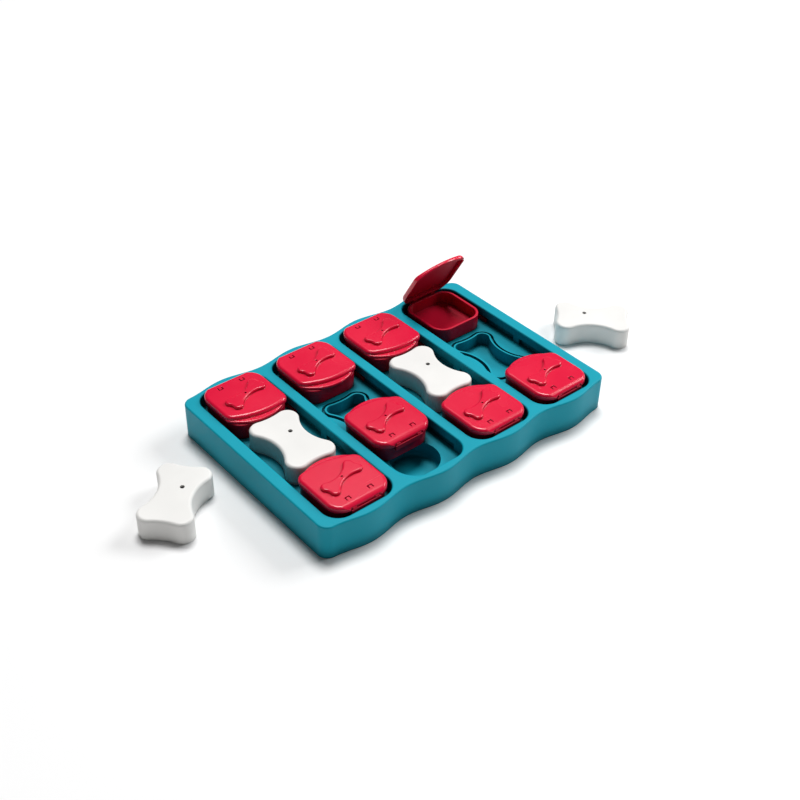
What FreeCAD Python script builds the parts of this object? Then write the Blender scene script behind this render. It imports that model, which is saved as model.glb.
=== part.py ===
import FreeCAD, Part
import math
import os

V = FreeCAD.Vector

# Tray: X runs along the wavy long sides, Y along the channels, Z up, floor at Z = 0
TRAY_LENGTH = 324.0
TRAY_MEAN_WIDTH = 216.4
WAVE_DEPTH = 2.8
TRAY_HEIGHT = 33.7
TRAY_CORNER = 10.0
TOP_ROUND = 1.5
SKIN = 2.4

# Channels and their floor
CHANNELS = 4
PITCH = 77.8
CHANNEL_HALF = 33.5
CHANNEL_END = 103.0
CHANNEL_CORNER = 16.0
DECK_Z = 19.0

# Guide grooves along the foot of both channel walls
GROOVE_DEPTH = 3.1
GROOVE_TOP = 25.5
GROOVE_INNER = 4.0
GROOVE_OUTER = 82.6

# Round treat wells at the channel ends
WELL_RADIUS = 22.5
WELL_Y = 70.0
WELL_FLOOR = 4.5
WELL_ROUND = 3.0

# Bone outline of the covers, which the middle wells follow at smaller offsets
LOBE_X = 13.5
LOBE_Y = 26.0
LOBE_RADIUS = 10.5
WAIST_HALF = 16.0
END_HALF = 35.0

# Middle wells: the hole, the raised ring around it and the moat that the cover stands in
BONE_WELL_INSET = 4.0
BONE_WELL_FLOOR = 7.0
RIDGE_INSET = 2.4
RIDGE_HEIGHT = 0.7
MOAT_CLEARANCE = 0.4
MOAT_FLOOR = 15.5

# Bone covers
COVER_BOTTOM = 15.8
COVER_TOP = 37.5
COVER_WALL = 2.0
COVER_ROUND = 2.8
COVER_HOLE_RADIUS = 2.0
COVER_HOLE_X = 4.0
COVER_HOLE_Y = 7.8
LOOSE_LEFT = (-222.5, 18.3, -49.0)
LOOSE_RIGHT = (240.2, -16.8, 45.0)

# Slider boxes, measured from the centre of their lid, outer end towards -Y
LID_CENTRE_Y = 71.1
SLIDE_TRAVEL = 39.0
BOX_HALF_X = 28.8
BOX_OUTER_Y = 28.0
BOX_INNER_Y = 30.4
BOX_CORNER = 15.0
BOX_BOTTOM = 20.0
BOX_TOP = 34.3
BOX_WALL = 2.8
BOX_FLOOR = 2.0
BOX_RIM_ROUND = 0.9
FLANGE_HALF_X = 36.0
FLANGE_BOTTOM = 19.3
FLANGE_TOP = 22.8
FLANGE_OUTER_Y = 10.9
FLANGE_INNER_Y = 14.0
PRONG_X = 34.1
PRONG_INNER_Y = 27.8

# Lids: a lower tier whose bulging inner end is the finger lip, and a dome that leaves the lip bare
LID_HALF_X = 29.8
LID_OUTER_Y = 30.4
LID_CORNER = 16.0
LID_BOTTOM = 34.6
LIP_TOP = 36.7
LID_TOP = 40.0
LIP_ROUND = 1.1
LIP_CORNER = 6.0
LIP_ARC_RADIUS = 38.0
LIP_ARC_X = -1.0
LIP_ARC_Y = -4.3
DOME_ROUND = 3.0
DOME_END_ROUND = 5.5
DOME_CORNER = 9.0
DOME_ARC_RADIUS = 70.0
DOME_ARC_X = -8.0
DOME_ARC_Y = -41.0
LID_SKIN = 2.2
LID_OPEN_DEG = 60.0
LID_OPEN_FOOT = 33.8
RECESS_HALF_X = 15.5
RECESS_Y = 29.6
RECESS_ROUND = 1.4

# U-shaped slits around two small tongues near the hinge
SLIT_X = 11.4
SLIT_Y = 21.0
SLIT_HALF_X = 2.4
SLIT_HALF_Y = 2.0
SLIT_WIDTH = 0.9

# Raised bone on the lid, slanting across it
RELIEF_X = -1.0
RELIEF_Y = 0.5
RELIEF_TURN = 20.5
RELIEF_HEIGHT = 2.6
RELIEF_ROUND = 1.7

# Snap hinge under the outer end: lugs on a ledge of the box around pins of the lid
LEDGE_HALF_X = 14.9
LEDGE_Y = 31.0
LEDGE_LIP = 0.8
LEDGE_BOTTOM = 30.5
LEDGE_TOP = 35.2
HINGE_Y = 29.0
HINGE_Z = 35.5
LUG_RADIUS = 1.5
LUG_WIDTH = 4.0
PIN_RADIUS = 0.7
PIN_CLEARANCE = 0.1
SLOT_WIDTH = 5.0
SLOT_ROOM = 0.25


def slab(x0, x1, y0, y1, z0, z1):
    return Part.makeBox(x1 - x0, y1 - y0, z1 - z0, V(x0, y0, z0))


def rounded_slab(x0, x1, y0, y1, z0, z1, radius):
    block = slab(x0, x1, y0, y1, z0, z1)
    upright = [e for e in block.Edges if abs(e.Vertexes[0].Z - e.Vertexes[1].Z) > 1e-6]
    return block.makeFillet(radius, upright)


def edges_at_height(shape, height):
    found = []
    for edge in shape.Edges:
        box = edge.BoundBox
        if abs(box.ZMin - height) < 1e-4 and abs(box.ZMax - height) < 1e-4:
            found.append(edge)
    return found


def channel_x(number):
    return (number - (CHANNELS + 1) / 2.0) * PITCH


# Bone outline from tangent arcs: four lobes, two waists, two slightly hollow ends
def bone_prism(lobe_x, lobe_y, lobe_r, waist, end, offset, z0, z1):
    side = ((waist - lobe_x) ** 2 + lobe_y ** 2 - lobe_r ** 2) / (2.0 * (lobe_r - waist + lobe_x))
    tip = ((end - lobe_y) ** 2 + lobe_x ** 2 - lobe_r ** 2) / (2.0 * (lobe_r - end + lobe_y))
    lobe = V(lobe_x, lobe_y, 0)
    side_centre = V(waist + side, 0, 0)
    tip_centre = V(0, end + tip, 0)
    to_side = (side_centre - lobe).normalize()
    to_tip = (tip_centre - lobe).normalize()
    reach = lobe_r + offset
    near_side = lobe + to_side * reach
    near_tip = lobe + to_tip * reach
    crown = lobe + (to_side + to_tip).normalize() * reach
    waist_point = V(waist + offset, 0, 0)
    end_point = V(0, end + offset, 0)

    def flip(point, sx, sy):
        return V(point.x * sx, point.y * sy, z0)

    edges = []
    for sx, sy in ((1, 1), (-1, 1), (-1, -1), (1, -1)):
        points = [flip(near_side, sx, sy), flip(crown, sx, sy), flip(near_tip, sx, sy)]
        edges.append(Part.Arc(*points).toShape())
    for sx in (1, -1):
        points = [flip(near_side, sx, 1), flip(waist_point, sx, 1), flip(near_side, sx, -1)]
        edges.append(Part.Arc(*points).toShape())
    for sy in (1, -1):
        points = [flip(near_tip, 1, sy), flip(end_point, 1, sy), flip(near_tip, -1, sy)]
        edges.append(Part.Arc(*points).toShape())
    wire = Part.Wire(Part.__sortEdges__(edges))
    return Part.Face(wire).extrude(V(0, 0, z1 - z0))


def cover_prism(offset, z0, z1):
    return bone_prism(LOBE_X, LOBE_Y, LOBE_RADIUS, WAIST_HALF, END_HALF, offset, z0, z1)


def wave_y(x, inset):
    return TRAY_MEAN_WIDTH / 2.0 - inset - WAVE_DEPTH * math.cos(2.0 * math.pi * x / PITCH)


# Solid inside the tray's plan outline: wavy long sides, straight short sides
def wavy_block(inset, z0, z1, corner):
    half = TRAY_LENGTH / 2.0 - inset
    steps = 48
    xs = [-half + 2.0 * half * i / steps for i in range(steps + 1)]
    back = Part.BSplineCurve()
    back.interpolate([V(x, wave_y(x, inset), z0) for x in xs])
    front = Part.BSplineCurve()
    front.interpolate([V(x, -wave_y(x, inset), z0) for x in xs])
    edge_y = wave_y(half, inset)
    right = Part.makeLine(V(half, -edge_y, z0), V(half, edge_y, z0))
    left = Part.makeLine(V(-half, -edge_y, z0), V(-half, edge_y, z0))
    wire = Part.Wire(Part.__sortEdges__([back.toShape(), right, front.toShape(), left]))
    block = Part.Face(wire).extrude(V(0, 0, z1 - z0))
    upright = [e for e in block.Edges if e.BoundBox.ZLength > (z1 - z0) - 1e-4 and e.BoundBox.XLength < 1e-4]
    return block.makeFillet(corner, upright)


def channel_cutter(x):
    return rounded_slab(x - CHANNEL_HALF, x + CHANNEL_HALF, -CHANNEL_END, CHANNEL_END,
                        DECK_Z, TRAY_HEIGHT + 5.0, CHANNEL_CORNER)


def groove_cutters(x):
    cutters = []
    for side in (-1, 1):
        wall = x + side * CHANNEL_HALF
        x0 = min(wall - side, wall + side * GROOVE_DEPTH)
        x1 = max(wall - side, wall + side * GROOVE_DEPTH)
        cutters.append(slab(x0, x1, GROOVE_INNER, GROOVE_OUTER, DECK_Z, GROOVE_TOP))
        cutters.append(slab(x0, x1, -GROOVE_OUTER, -GROOVE_INNER, DECK_Z, GROOVE_TOP))
    return cutters


def round_well(x, y):
    well = Part.makeCylinder(WELL_RADIUS, DECK_Z + 1.0 - WELL_FLOOR, V(x, y, WELL_FLOOR))
    return well.makeFillet(WELL_ROUND, edges_at_height(well, WELL_FLOOR))


def bone_well(x):
    well = cover_prism(-BONE_WELL_INSET, BONE_WELL_FLOOR, TRAY_HEIGHT)
    well.translate(V(x, 0, 0))
    return well


# Raised ring around the bone well and the moat outside it
def ridge_ring(x):
    ring = cover_prism(-RIDGE_INSET, MOAT_FLOOR - 1.0, DECK_Z + RIDGE_HEIGHT)
    ring.translate(V(x, 0, 0))
    return ring


def moat_ring(x):
    outer = cover_prism(MOAT_CLEARANCE, MOAT_FLOOR, DECK_Z + 1.0)
    ring = outer.cut(cover_prism(-RIDGE_INSET, MOAT_FLOOR - 1.0, DECK_Z + 2.0))
    ring.translate(V(x, 0, 0))
    return ring


# Hollow under the deck, open to the floor, with the well cups left standing in it
def underside():
    hollow = wavy_block(SKIN, -1.0, DECK_Z - SKIN, TRAY_CORNER - SKIN)
    keep = []
    for number in range(1, CHANNELS + 1):
        x = channel_x(number)
        for side in (-1, 1):
            keep.append(Part.makeCylinder(WELL_RADIUS + SKIN, 40, V(x, side * WELL_Y, WELL_FLOOR - SKIN)))
        cup = cover_prism(SKIN - BONE_WELL_INSET, BONE_WELL_FLOOR - SKIN, DECK_Z)
        collar = cover_prism(MOAT_CLEARANCE + SKIN, MOAT_FLOOR - SKIN, DECK_Z)
        for piece in (cup, collar):
            piece.translate(V(x, 0, 0))
            keep.append(piece)
    hollow = hollow.cut(keep)
    outer = TRAY_LENGTH / 2.0 - SKIN
    inner = channel_x(CHANNELS) + CHANNEL_HALF + GROOVE_DEPTH + SKIN
    reach = CHANNEL_END - CHANNEL_CORNER
    for x0, x1 in ((inner, outer), (-outer, -inner)):
        hollow = hollow.fuse(slab(x0, x1, -reach, reach, -1.0, TRAY_HEIGHT - SKIN))
    return hollow


def tray():
    body = wavy_block(0.0, 0.0, TRAY_HEIGHT, TRAY_CORNER)
    centres = [channel_x(number) for number in range(1, CHANNELS + 1)]
    body = body.cut([channel_cutter(x) for x in centres])
    body = body.makeFillet(TOP_ROUND, edges_at_height(body, TRAY_HEIGHT))
    body = body.cut([moat_ring(x) for x in centres])
    body = body.fuse([ridge_ring(x) for x in centres])
    wells = [bone_well(x) for x in centres]
    for x in centres:
        wells.append(round_well(x, -WELL_Y))
        wells.append(round_well(x, WELL_Y))
    body = body.cut(wells)
    body = body.cut([cutter for x in centres for cutter in groove_cutters(x)])
    body = body.cut(underside())
    return body.removeSplitter()


# Slider box around the origin of its lid, outer end towards -Y
def slider_box():
    body = rounded_slab(-BOX_HALF_X, BOX_HALF_X, -BOX_OUTER_Y, BOX_INNER_Y,
                        BOX_BOTTOM, BOX_TOP, BOX_CORNER)
    cavity = rounded_slab(-BOX_HALF_X + BOX_WALL, BOX_HALF_X - BOX_WALL,
                          -BOX_OUTER_Y + BOX_WALL, BOX_INNER_Y - BOX_WALL,
                          BOX_BOTTOM + BOX_FLOOR, BOX_TOP + 1.0, BOX_CORNER - BOX_WALL)
    body = body.cut(cavity)
    body = body.makeFillet(BOX_RIM_ROUND, edges_at_height(body, BOX_TOP))
    feet = []
    for side in (-1, 1):
        x0, x1 = sorted((side * (BOX_HALF_X - 1.5), side * FLANGE_HALF_X))
        feet.append(slab(x0, x1, -FLANGE_OUTER_Y, FLANGE_INNER_Y, FLANGE_BOTTOM, FLANGE_TOP))
        x0, x1 = sorted((side * PRONG_X, side * FLANGE_HALF_X))
        feet.append(slab(x0, x1, 0, PRONG_INNER_Y, FLANGE_BOTTOM, FLANGE_TOP))
        feet.append(hinge_lug(side * SLIT_X))
    feet.append(slab(-LEDGE_HALF_X, LEDGE_HALF_X, -LEDGE_Y, -BOX_OUTER_Y + 1.0, LEDGE_BOTTOM, BOX_TOP))
    feet.append(slab(-LEDGE_HALF_X, LEDGE_HALF_X, -LEDGE_Y, -LEDGE_Y + LEDGE_LIP, LEDGE_BOTTOM, LEDGE_TOP))
    body = body.fuse(feet)
    for side in (-1, 1):
        bore = Part.makeCylinder(PIN_RADIUS + PIN_CLEARANCE, 10.0,
                                 V(side * SLIT_X - 5.0, -HINGE_Y, HINGE_Z), V(1, 0, 0))
        body = body.cut(bore)
    return body.removeSplitter()


# Lug of the snap hinge: an eye on a short stem that rises from the ledge
def hinge_lug(x):
    x0 = x - LUG_WIDTH / 2.0
    eye = Part.makeCylinder(LUG_RADIUS, LUG_WIDTH, V(x0, -HINGE_Y, HINGE_Z), V(1, 0, 0))
    stem = slab(x0, x0 + LUG_WIDTH, -HINGE_Y - LUG_RADIUS + 0.2, -HINGE_Y + LUG_RADIUS - 0.2,
                BOX_TOP - 1.0, HINGE_Z)
    return eye.fuse(stem)


# Raised bone on the lid's top with rounded edges and a small dimple at its waist
def lid_relief():
    top = LID_TOP + RELIEF_HEIGHT
    bone = bone_prism(4.4, 16.7, 4.6, 3.6, 20.4, 0.0, LID_TOP - 0.5, top)
    bone = bone.makeFillet(RELIEF_ROUND, edges_at_height(bone, top))
    bone.rotate(V(0, 0, 0), V(0, 0, 1), RELIEF_TURN - 90.0)
    dimple = Part.makeCylinder(1.0, 2.0, V(0, 0, top - 1.2))
    bone = bone.cut(dimple)
    bone.translate(V(RELIEF_X, RELIEF_Y, 0))
    return bone


# Plan outline of a lid tier: rounded outer corners, and an arc across the inner end
def lid_tier(arc_x, arc_y, arc_radius, corner, inset, z0, z1):
    block = slab(-LID_HALF_X + inset, LID_HALF_X - inset, -LID_OUTER_Y + inset, 60, z0, z1)
    outer = []
    for edge in block.Edges:
        if edge.BoundBox.ZLength > z1 - z0 - 1e-4 and edge.BoundBox.YMax < 0:
            outer.append(edge)
    block = block.makeFillet(LID_CORNER - inset, outer)
    block = block.common(Part.makeCylinder(arc_radius - inset, z1 - z0, V(arc_x, arc_y, z0)))
    inner = []
    for edge in block.Edges:
        box = edge.BoundBox
        if box.ZLength > z1 - z0 - 1e-4 and box.XLength < 1e-4 and box.YMin > 5.0:
            inner.append(edge)
    return block.makeFillet(corner - inset, inner)


def lip_tier(inset, z0, z1):
    return lid_tier(LIP_ARC_X, LIP_ARC_Y, LIP_ARC_RADIUS, LIP_CORNER, inset, z0, z1)


def dome(inset, z0, z1):
    return lid_tier(DOME_ARC_X, DOME_ARC_Y, DOME_ARC_RADIUS, DOME_CORNER, inset, z0, z1)


def slit(x):
    cutter = slab(x - SLIT_HALF_X, x + SLIT_HALF_X, -SLIT_Y - SLIT_HALF_Y, -SLIT_Y + SLIT_HALF_Y, 30, 45)
    tongue = slab(x - SLIT_HALF_X + SLIT_WIDTH, x + SLIT_HALF_X - SLIT_WIDTH,
                  -SLIT_Y - SLIT_HALF_Y - 1.0, -SLIT_Y + SLIT_HALF_Y - SLIT_WIDTH, 29, 46)
    return cutter.cut(tongue)


# Material outside a rounding that runs along X over a lid's outer end
def end_rounding(half_x, end_y, radius):
    corner = slab(-half_x, half_x, end_y - 1.0, end_y + radius, LID_TOP - radius, LID_TOP + 1.0)
    rounding = Part.makeCylinder(radius, 2.0 * half_x, V(-half_x, end_y + radius, LID_TOP - radius), V(1, 0, 0))
    return corner.cut(rounding)


# Recess between the slits on the lid's hinge side, with a rounded top edge
def recess_cutter():
    cutter = slab(-RECESS_HALF_X, RECESS_HALF_X, -40, -RECESS_Y, 30, 45)
    return cutter.fuse(end_rounding(RECESS_HALF_X, -RECESS_Y, RECESS_ROUND))


# Bevel under the lid's hinge end: with the lid fully open it lies level, just above the tray's rim
def open_bevel():
    cutter = slab(-40, 40, -60, 0, 0, LID_OPEN_FOOT)
    cutter.rotate(V(0, -HINGE_Y, HINGE_Z), V(1, 0, 0), -LID_OPEN_DEG)
    return cutter.common(slab(-40, 40, -60, -HINGE_Y - 1.0, 0, 60))


def lid():
    base = lip_tier(0.0, LID_BOTTOM, LIP_TOP)
    base = base.makeFillet(LIP_ROUND, edges_at_height(base, LIP_TOP))
    crown = dome(0.0, LID_BOTTOM + 1.0, LID_TOP)
    crown = crown.makeFillet(DOME_ROUND, edges_at_height(crown, LID_TOP))
    crown = crown.cut(end_rounding(LID_HALF_X + 1.0, -LID_OUTER_Y, DOME_END_ROUND))
    body = base.fuse(crown)
    hollow = dome(LID_SKIN, LID_BOTTOM - 1.0, LID_TOP - LID_SKIN)
    hollow = hollow.cut(slab(-40, 40, -40, -HINGE_Y + 3.5, 30, 45))
    body = body.cut(hollow)
    body = body.cut(recess_cutter())
    body = body.cut(open_bevel())
    body = body.fuse(lid_relief())
    for side in (-1, 1):
        x = side * SLIT_X
        body = body.cut(slit(x))
        body = body.cut(slab(x - SLOT_WIDTH / 2.0, x + SLOT_WIDTH / 2.0, -40, -HINGE_Y + LUG_RADIUS + 0.6,
                             30, HINGE_Z + LUG_RADIUS + SLOT_ROOM))
        pin = Part.makeCylinder(PIN_RADIUS, SLOT_WIDTH + 2.0,
                                V(x - SLOT_WIDTH / 2.0 - 1.0, -HINGE_Y, HINGE_Z), V(1, 0, 0))
        body = body.fuse(pin)
    return body.removeSplitter()


# Hollow bone cover standing on Z = 0 around the origin
def bone_cover():
    height = COVER_TOP - COVER_BOTTOM
    body = cover_prism(0.0, 0.0, height)
    body = body.makeFillet(COVER_ROUND, edges_at_height(body, height))
    body = body.cut(cover_prism(-COVER_WALL, -1.0, height - COVER_WALL))
    hole = Part.makeCylinder(COVER_HOLE_RADIUS, 10, V(COVER_HOLE_X, COVER_HOLE_Y, height - 5.0))
    return body.cut(hole)


def placed(shape, x, y, z, turn):
    copy = shape.copy()
    copy.rotate(V(0, 0, 0), V(0, 0, 1), turn)
    copy.translate(V(x, y, z))
    return copy


def save(shape, node):
    shape.exportStep("parts/" + node + ".step")
    print(node, len(shape.Solids), shape.isValid(), round(shape.Volume))


os.makedirs("parts", exist_ok=True)
save(tray(), "tray")

box_shape = slider_box()
lid_shape = lid()
for number in range(1, CHANNELS + 1):
    x = channel_x(number)
    pushed_in = SLIDE_TRAVEL if number == 2 else 0.0
    save(placed(box_shape, x, -LID_CENTRE_Y + pushed_in, 0, 0), "slider_box_%d_front" % number)
    save(placed(box_shape, x, LID_CENTRE_Y, 0, 180), "slider_box_%d_back" % number)
    save(placed(lid_shape, x, -LID_CENTRE_Y + pushed_in, 0, 0), "lid_%d_front" % number)
    back_lid = placed(lid_shape, x, LID_CENTRE_Y, 0, 180)
    if number == CHANNELS:
        axis_point = V(x, LID_CENTRE_Y + HINGE_Y, HINGE_Z)
        back_lid.rotate(axis_point, V(1, 0, 0), -LID_OPEN_DEG)
    save(back_lid, "lid_%d_back" % number)

cover_shape = bone_cover()
save(placed(cover_shape, channel_x(1), 0, COVER_BOTTOM, 0), "bone_cover_1")
save(placed(cover_shape, LOOSE_LEFT[0], LOOSE_LEFT[1], 0, LOOSE_LEFT[2]), "bone_cover_2_loose")
save(placed(cover_shape, channel_x(3), 0, COVER_BOTTOM, 0), "bone_cover_3")
save(placed(cover_shape, LOOSE_RIGHT[0], LOOSE_RIGHT[1], 0, LOOSE_RIGHT[2]), "bone_cover_4_loose")
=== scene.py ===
import math

import bmesh
import bpy
from mathutils import Matrix, Vector

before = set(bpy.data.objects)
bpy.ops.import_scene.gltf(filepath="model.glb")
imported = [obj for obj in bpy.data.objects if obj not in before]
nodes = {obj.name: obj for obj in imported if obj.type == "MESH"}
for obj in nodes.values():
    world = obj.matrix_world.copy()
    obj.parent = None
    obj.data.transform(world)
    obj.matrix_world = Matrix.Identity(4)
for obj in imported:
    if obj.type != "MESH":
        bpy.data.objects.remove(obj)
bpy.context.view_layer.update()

PHOTO_WIDTH_PX = 800.0
PHOTO_FOCAL_PX = 1202.5
SENSOR_WIDTH_MM = 36.0
FLOOR_DROP = 0.0002
FLOOR_HALF = 30.0
OPEN_LID = "lid_4_back"
OPEN_LID_DEG = 60.0
UNDERSIDE_COSINE = 0.35
# Strength of the edge mask: rubbed wear and painted highlight
EDGE_WEAR_AND_HIGHLIGHT = 0.5
RELIEF_STRENGTH = 0.05
RELIEF_DEPTH = 0.0004
PLASTIC_IOR = 1.5


# Building blocks of the node groups
def new_group(name, inputs, outputs):
    tree = bpy.data.node_groups.new(name, "ShaderNodeTree")
    for label, kind, value in inputs:
        socket = tree.interface.new_socket(label, in_out="INPUT", socket_type=kind)
        socket.default_value = value
    for label, kind in outputs:
        tree.interface.new_socket(label, in_out="OUTPUT", socket_type=kind)
    return tree, tree.nodes.new("NodeGroupInput"), tree.nodes.new("NodeGroupOutput")


def link(tree, output, socket):
    tree.links.new(output, socket)


def add_group(tree, group):
    node = tree.nodes.new("ShaderNodeGroup")
    node.node_tree = group
    return node


def object_place(tree):
    return tree.nodes.new("ShaderNodeTexCoord").outputs["Object"]


def math_node(tree, operation, a, b=None, clamp=False):
    node = tree.nodes.new("ShaderNodeMath")
    node.operation = operation
    node.use_clamp = clamp
    for socket, value in zip(node.inputs, (a, b)):
        if value is None:
            continue
        if isinstance(value, (int, float)):
            socket.default_value = value
        else:
            link(tree, value, socket)
    return node.outputs[0]


def mix_colour(tree, factor, a, b):
    node = tree.nodes.new("ShaderNodeMix")
    node.data_type = "RGBA"
    link(tree, factor, node.inputs[0])
    link(tree, a, node.inputs[6])
    link(tree, b, node.inputs[7])
    return node.outputs[2]


def noise(tree, vector, scale, detail=3.0, rough=0.5, distortion=0.0):
    node = tree.nodes.new("ShaderNodeTexNoise")
    node.inputs["Scale"].default_value = scale
    node.inputs["Detail"].default_value = detail
    node.inputs["Roughness"].default_value = rough
    node.inputs["Distortion"].default_value = distortion
    link(tree, vector, node.inputs["Vector"])
    return node.outputs["Fac"]


def ramp(tree, value, low, high, to_low=0.0, to_high=1.0):
    node = tree.nodes.new("ShaderNodeMapRange")
    node.inputs["From Min"].default_value = low
    node.inputs["From Max"].default_value = high
    node.inputs["To Min"].default_value = to_low
    node.inputs["To Max"].default_value = to_high
    link(tree, value, node.inputs["Value"])
    return node.outputs[0]


# Softened edges, and a mask of rubbed wear that also paints highlight along them: how far the rounded
# normal leaves the true one
def edge_rub_and_highlight_group():
    tree, source, sink = new_group(
        "edge rub and painted highlight",
        [("Radius", "NodeSocketFloat", 0.0006), ("Strength", "NodeSocketFloat", 1.0)],
        [("Mask", "NodeSocketFloat"), ("Normal", "NodeSocketVector")])
    bevel = tree.nodes.new("ShaderNodeBevel")
    bevel.samples = 6
    link(tree, source.outputs["Radius"], bevel.inputs["Radius"])
    geometry = tree.nodes.new("ShaderNodeNewGeometry")
    dot = tree.nodes.new("ShaderNodeVectorMath")
    dot.operation = "DOT_PRODUCT"
    link(tree, bevel.outputs[0], dot.inputs[0])
    link(tree, geometry.outputs["Normal"], dot.inputs[1])
    away = math_node(tree, "SUBTRACT", 1.0, dot.outputs["Value"], clamp=True)
    place = object_place(tree)
    patchy = ramp(tree, noise(tree, place, 90.0, 4.0, 0.65), 0.35, 0.65, 0.35, 1.0)
    mask = math_node(tree, "MULTIPLY", ramp(tree, away, 0.02, 0.30), patchy)
    mask = math_node(tree, "MULTIPLY", mask, source.outputs["Strength"], clamp=True)
    link(tree, mask, sink.inputs["Mask"])
    link(tree, bevel.outputs[0], sink.inputs["Normal"])
    return tree


# Moulded skin: slow cloudiness, fine spark-eroded grain and short handling scratches; the colour is
# darkened by the painted shade fed in as Shade and lightened on edges by the rub mask, partly wear and
# partly painted highlight
def moulded_skin_group():
    tree, source, sink = new_group(
        "moulded skin",
        [("Colour", "NodeSocketColor", (0.5, 0.5, 0.5, 1.0)),
         ("Rubbed And Highlit Colour", "NodeSocketColor", (0.8, 0.8, 0.8, 1.0)),
         ("Rub And Highlight", "NodeSocketFloat", 0.0),
         ("Shade", "NodeSocketFloat", 1.0),
         ("Roughness", "NodeSocketFloat", 0.35),
         ("Grain Scale", "NodeSocketFloat", 2200.0),
         ("Scratches", "NodeSocketFloat", 0.3)],
        [("Colour", "NodeSocketColor"),
         ("Roughness", "NodeSocketFloat"),
         ("Height", "NodeSocketFloat")])
    place = object_place(tree)
    cloud = noise(tree, place, 14.0, 3.0, 0.55)
    mottle = ramp(tree, cloud, 0.3, 0.7, 0.95, 1.05)
    # The Shade input carries painted crevice shade and darkens the mottled colour
    shade = math_node(tree, "MULTIPLY", mottle, source.outputs["Shade"])
    tinted = tree.nodes.new("ShaderNodeVectorMath")
    tinted.operation = "SCALE"
    link(tree, source.outputs["Colour"], tinted.inputs[0])
    link(tree, shade, tinted.inputs["Scale"])
    grain = tree.nodes.new("ShaderNodeTexNoise")
    grain.inputs["Detail"].default_value = 2.0
    link(tree, place, grain.inputs["Vector"])
    link(tree, source.outputs["Grain Scale"], grain.inputs["Scale"])
    fine = math_node(tree, "MULTIPLY", grain.outputs["Fac"], 0.5)
    stretch = tree.nodes.new("ShaderNodeMapping")
    stretch.inputs["Scale"].default_value = (22.0, 420.0, 60.0)
    stretch.inputs["Rotation"].default_value = (0.2, 0.1, 0.7)
    link(tree, place, stretch.inputs["Vector"])
    streak = noise(tree, stretch.outputs[0], 1.0, 2.0, 0.5, 1.4)
    patches = ramp(tree, noise(tree, place, 38.0, 2.0), 0.48, 0.62)
    scratch = math_node(tree, "MULTIPLY", ramp(tree, streak, 0.66, 0.70), source.outputs["Scratches"])
    scratch = math_node(tree, "MULTIPLY", scratch, patches)
    rub_and_highlight = source.outputs["Rub And Highlight"]
    # Edges mix towards the lighter rubbed colour: partly rubbed wear, partly painted highlight
    colour = mix_colour(tree, rub_and_highlight, tinted.outputs[0], source.outputs["Rubbed And Highlit Colour"])
    cloudy = ramp(tree, cloud, 0.3, 0.7, -0.04, 0.05)
    rough = math_node(tree, "ADD", source.outputs["Roughness"], cloudy)
    rough = math_node(tree, "ADD", rough, math_node(tree, "MULTIPLY", scratch, 0.18))
    rough = math_node(tree, "ADD", rough, math_node(tree, "MULTIPLY", rub_and_highlight, 0.12), clamp=True)
    height = math_node(tree, "SUBTRACT", fine, scratch)
    link(tree, colour, sink.inputs["Colour"])
    link(tree, rough, sink.inputs["Roughness"])
    link(tree, height, sink.inputs["Height"])
    return tree


# Painted shade in corners and crevices: darker base colour where much of the surroundings is hidden from
# a point
def painted_crevice_shade_group():
    tree, source, sink = new_group(
        "painted_crevice_shade",
        [("Reach", "NodeSocketFloat", 0.02), ("Depth", "NodeSocketFloat", 0.5)],
        [("Shade", "NodeSocketFloat")])
    hidden = tree.nodes.new("ShaderNodeAmbientOcclusion")
    hidden.samples = 8
    link(tree, source.outputs["Reach"], hidden.inputs["Distance"])
    free = ramp(tree, hidden.outputs["AO"], 0.15, 0.85)
    closed = math_node(tree, "SUBTRACT", 1.0, free, clamp=True)
    darker = math_node(tree, "MULTIPLY", closed, source.outputs["Depth"])
    shade = math_node(tree, "SUBTRACT", 1.0, darker, clamp=True)
    link(tree, shade, sink.inputs["Shade"])
    return tree


EDGE_RUB_AND_HIGHLIGHT = edge_rub_and_highlight_group()
PAINTED_CREVICE_SHADE = painted_crevice_shade_group()
MOULDED_SKIN = moulded_skin_group()


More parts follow.
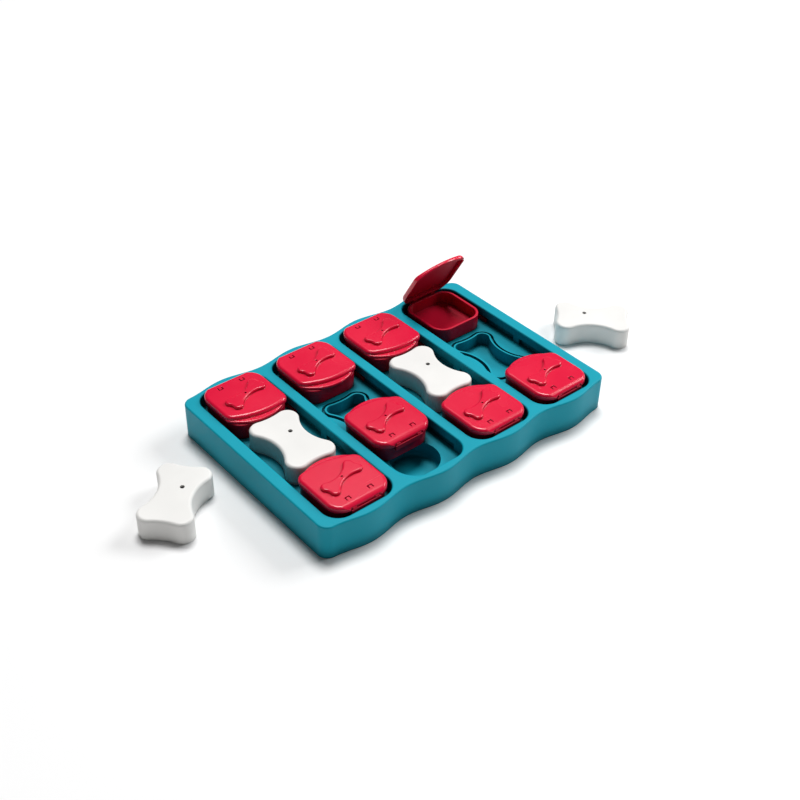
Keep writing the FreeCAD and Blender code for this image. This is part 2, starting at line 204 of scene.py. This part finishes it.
# Plastic with edges lightened as rubbed wear and painted highlight, and crevices darkened as painted
# shade by the shade depth; gloss is its specular level
def plastic(name, colour, rubbed_and_highlit, roughness, gloss, shade_depth, scratches=0.3):
    material = bpy.data.materials.new(name)
    material.use_nodes = True
    tree = material.node_tree
    shader = tree.nodes["Principled BSDF"]
    edges = add_group(tree, EDGE_RUB_AND_HIGHLIGHT)
    edges.inputs["Strength"].default_value = EDGE_WEAR_AND_HIGHLIGHT
    skin = add_group(tree, MOULDED_SKIN)
    skin.inputs["Colour"].default_value = (*colour, 1.0)
    skin.inputs["Rubbed And Highlit Colour"].default_value = (*rubbed_and_highlit, 1.0)
    skin.inputs["Roughness"].default_value = roughness
    skin.inputs["Scratches"].default_value = scratches
    link(tree, edges.outputs["Mask"], skin.inputs["Rub And Highlight"])
    # Painted shade: crevices and corners get a darker base colour, from how much of the surroundings is
    # hidden
    painted_crevice_shade = add_group(tree, PAINTED_CREVICE_SHADE)
    painted_crevice_shade.inputs["Depth"].default_value = shade_depth
    link(tree, painted_crevice_shade.outputs["Shade"], skin.inputs["Shade"])
    relief = tree.nodes.new("ShaderNodeBump")
    relief.inputs["Strength"].default_value = RELIEF_STRENGTH
    relief.inputs["Distance"].default_value = RELIEF_DEPTH
    link(tree, skin.outputs["Height"], relief.inputs["Height"])
    link(tree, edges.outputs["Normal"], relief.inputs["Normal"])
    link(tree, skin.outputs["Colour"], shader.inputs["Base Color"])
    link(tree, skin.outputs["Roughness"], shader.inputs["Roughness"])
    link(tree, relief.outputs[0], shader.inputs["Normal"])
    shader.inputs["Specular IOR Level"].default_value = gloss
    shader.inputs["IOR"].default_value = PLASTIC_IOR
    return material


turquoise = plastic(
    "turquoise tray plastic", (0.0004, 0.32, 0.42), (0.01, 0.42, 0.52),
    roughness=0.46, gloss=0.16, shade_depth=0.8)
# The box red is a darker copy of the lid red: painted shade for its sides and inside, which sit in shadow
red_box_painted_shade = plastic(
    "red slider plastic with painted shade", (0.56, 0.002, 0.03), (0.70, 0.008, 0.05),
    roughness=0.42, gloss=0.22, shade_depth=0.7)
red_lid = plastic(
    "red lid plastic", (0.72, 0.002, 0.04), (0.84, 0.03, 0.09),
    roughness=0.24, gloss=0.5, shade_depth=0.4, scratches=0.12)
# Darker copy of the lid red for faces that look down when shut: the rougher finish is real, the darker
# red is painted shade
red_under_painted_shade = plastic(
    "red lid underside plastic with painted shade", (0.42, 0.001, 0.02), (0.6, 0.006, 0.04),
    roughness=0.62, gloss=0.12, shade_depth=0.6)
white_cover = plastic(
    "white cover plastic", (0.795, 0.787, 0.765), (0.86, 0.85, 0.83),
    roughness=0.40, gloss=0.35, shade_depth=0.0)


def dress(obj, material):
    obj.data.materials.clear()
    obj.data.materials.append(material)
    for face in obj.data.polygons:
        face.material_index = 0


# A lid is glossy outside; the faces that look down when it is shut get a duller, rougher finish of their
# own and a darker red, which is painted shade
def dress_lid(obj, open_deg):
    dress(obj, red_lid)
    obj.data.materials.append(red_under_painted_shade)
    angle = math.radians(open_deg)
    down = Vector((0.0, -math.sin(angle), -math.cos(angle)))
    for face in obj.data.polygons:
        if face.normal.dot(down) > UNDERSIDE_COSINE:
            face.material_index = 1


for name, obj in nodes.items():
    if name == "tray":
        dress(obj, turquoise)
    elif name.startswith("slider_box"):
        dress(obj, red_box_painted_shade)
    elif name.startswith("lid"):
        dress_lid(obj, OPEN_LID_DEG if name == OPEN_LID else 0.0)
    else:
        dress(obj, white_cover)


# Floor, lights and camera
def studio_floor():
    mesh = bpy.data.meshes.new("studio floor")
    shape = bmesh.new()
    bmesh.ops.create_grid(shape, x_segments=1, y_segments=1, size=FLOOR_HALF)
    shape.to_mesh(mesh)
    shape.free()
    floor = bpy.data.objects.new("studio floor", mesh)
    bpy.context.collection.objects.link(floor)
    material = bpy.data.materials.new("pale floor")
    material.use_nodes = True
    shader = material.node_tree.nodes["Principled BSDF"]
    shader.inputs["Base Color"].default_value = (0.9, 0.9, 0.9, 1.0)
    shader.inputs["Roughness"].default_value = 0.9
    mesh.materials.append(material)
    floor.location.z = -FLOOR_DROP


def place_light(name, data, direction):
    light = bpy.data.objects.new(name, data)
    light.rotation_euler = Vector(direction).to_track_quat("-Z", "Y").to_euler()
    bpy.context.collection.objects.link(light)
    return light


def high_light(position, strength, width_deg):
    data = bpy.data.lights.new("high back light", "SUN")
    data.energy = strength
    data.angle = math.radians(width_deg)
    place_light("high back light", data, -Vector(position))


def softbox(name, position, target, size, power):
    data = bpy.data.lights.new(name, "AREA")
    data.shape = "RECTANGLE"
    data.size = size[0]
    data.size_y = size[1]
    data.energy = power
    light = place_light(name, data, Vector(target) - Vector(position))
    light.location = position


def studio_air(strength):
    world = bpy.data.worlds.new("studio air")
    world.use_nodes = True
    background = world.node_tree.nodes["Background"]
    background.inputs["Color"].default_value = (1.0, 1.0, 1.0, 1.0)
    background.inputs["Strength"].default_value = strength
    bpy.context.scene.world = world


# The photograph's viewpoint, looking down at a spot on the floor and turned a little about its axis
def photo_camera():
    azimuth = math.radians(-40.64)
    elevation = math.radians(37.76)
    roll = math.radians(1.2)
    distance = 1.1251
    target = Vector((0.01963, 0.01894, 0.0))
    back = Vector((
        math.sin(azimuth) * math.cos(elevation),
        -math.cos(azimuth) * math.cos(elevation),
        math.sin(elevation)))
    level_side = Vector((0, 0, 1)).cross(back).normalized()
    level_up = back.cross(level_side)
    side = level_side * math.cos(roll) + level_up * math.sin(roll)
    up = level_up * math.cos(roll) - level_side * math.sin(roll)
    data = bpy.data.cameras.new("photo camera")
    data.sensor_width = SENSOR_WIDTH_MM
    data.lens = SENSOR_WIDTH_MM * PHOTO_FOCAL_PX / PHOTO_WIDTH_PX
    data.clip_start = 0.05
    camera = bpy.data.objects.new("photo camera", data)
    turn = Matrix((side, up, back)).transposed().to_4x4()
    camera.matrix_world = Matrix.Translation(target + back * distance) @ turn
    bpy.context.collection.objects.link(camera)
    bpy.context.scene.camera = camera


studio_floor()
high_light((0.34, 0.42, 1.45), strength=2.6, width_deg=22.0)
softbox("back softbox", (0.82, 1.02, 1.46), target=(-0.05, -0.05, 0.03), size=(0.45, 0.30), power=0.8)
softbox("right key softbox", (2.25, -0.27, 1.764), target=(0.0, 0.0, 0.03), size=(1.44, 1.08), power=46.0)
softbox("left edge strip", (-1.6, 0.9, 0.5), target=(0.0, 0.0, 0.03), size=(0.10, 1.4), power=0.5)
studio_air(strength=0.08)
bpy.context.scene.view_settings.view_transform = "Standard"
photo_camera()
